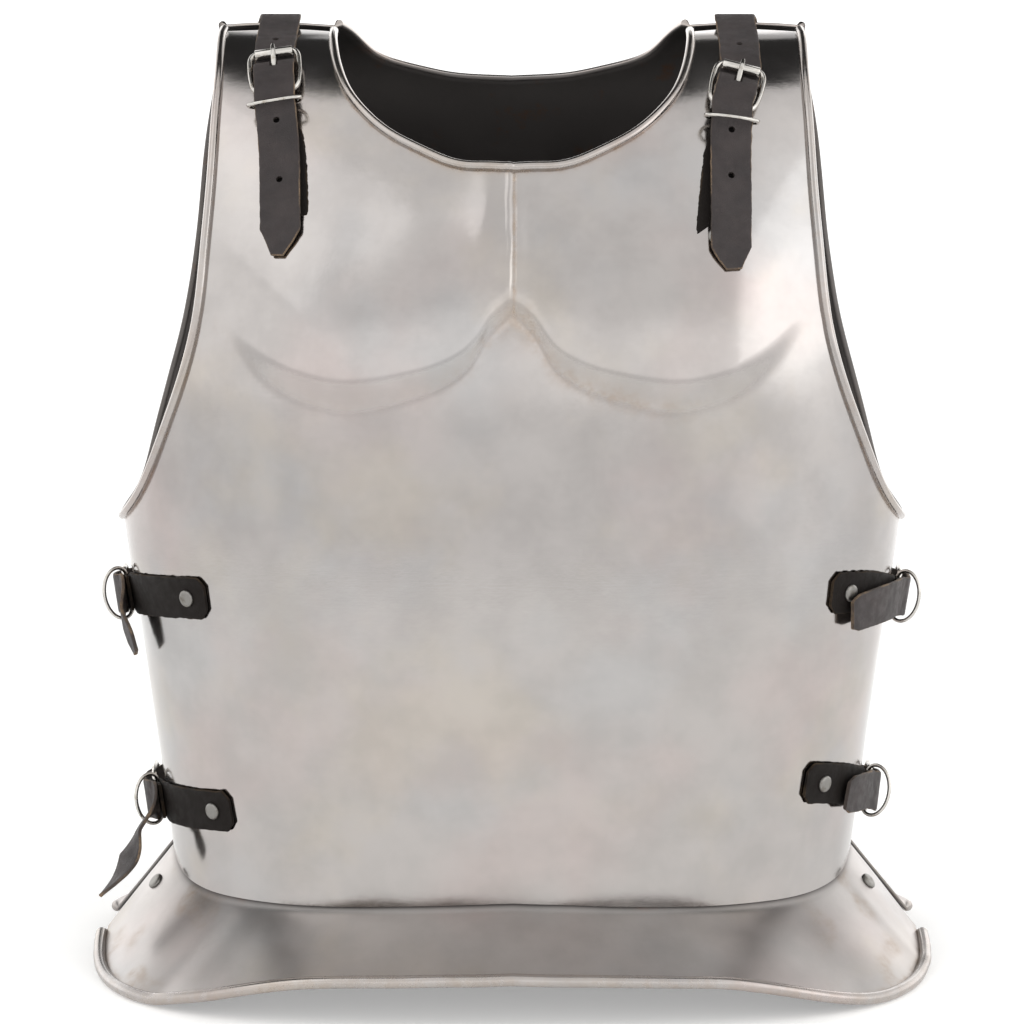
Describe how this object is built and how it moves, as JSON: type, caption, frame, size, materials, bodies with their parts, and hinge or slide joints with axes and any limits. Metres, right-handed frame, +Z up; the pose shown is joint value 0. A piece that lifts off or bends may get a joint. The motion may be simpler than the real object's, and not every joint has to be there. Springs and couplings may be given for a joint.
{
  "type": "steel cuirass breastplate and backplate",
  "caption": "Steel cuirass with moulded chest, rolled neck and arm edges and flared waist skirts, its front and back halves joined by buckled leather straps.",
  "frame": {"origin": "middle of the footprint, on the surface that the skirts stand on", "axes": "+Z up, the chest faces -Y, +X to the right as seen from in front"},
  "size_m": [0.4518, 0.3208, 0.5027],
  "materials": {
    "steel": "satin brushed plate steel with faint brown stains, near-black inside",
    "leather": "matt dark grey-brown leather with raw tan edges",
    "nickel": "bright nickel-plated wire buckles and rivet heads, lightly worn"
  },
  "bodies": {
    "root": {"back_skirt": "steel", "back_skirt_left_rivet": "nickel", "back_skirt_right_rivet": "nickel", "backplate": "steel", "breastplate": "steel", "front_skirt": "steel", "front_skirt_left_rivet": "nickel", "front_skirt_right_rivet": "nickel", "left_lower_back_rivet": "nickel", "left_lower_billet": "leather", "left_lower_buckle": "nickel", "left_lower_chape": "leather", "left_lower_front_rivet": "nickel", "left_lower_keeper": "nickel", "left_lower_roller": "nickel", "left_lower_tongue": "nickel", "left_shoulder_back_rivet": "nickel", "left_shoulder_billet": "leather", "left_shoulder_buckle": "nickel", "left_shoulder_chape": "leather", "left_shoulder_front_rivet": "nickel", "left_shoulder_keeper": "nickel", "left_shoulder_roller": "nickel", "left_shoulder_tongue": "nickel", "left_upper_back_rivet": "nickel", "left_upper_billet": "leather", "left_upper_buckle": "nickel", "left_upper_chape": "leather", "left_upper_front_rivet": "nickel", "left_upper_keeper": "nickel", "left_upper_roller": "nickel", "left_upper_tongue": "nickel", "right_lower_back_rivet": "nickel", "right_lower_billet": "leather", "right_lower_buckle": "nickel", "right_lower_chape": "leather", "right_lower_front_rivet": "nickel", "right_lower_keeper": "nickel", "right_lower_roller": "nickel", "right_lower_tongue": "nickel", "right_shoulder_back_rivet": "nickel", "right_shoulder_billet": "leather", "right_shoulder_buckle": "nickel", "right_shoulder_chape": "leather", "right_shoulder_front_rivet": "nickel", "right_shoulder_keeper": "nickel", "right_shoulder_roller": "nickel", "right_shoulder_tongue": "nickel", "right_upper_back_rivet": "nickel", "right_upper_billet": "leather", "right_upper_buckle": "nickel", "right_upper_chape": "leather", "right_upper_front_rivet": "nickel", "right_upper_keeper": "nickel", "right_upper_roller": "nickel", "right_upper_tongue": "nickel"}
  },
  "joints": []
}
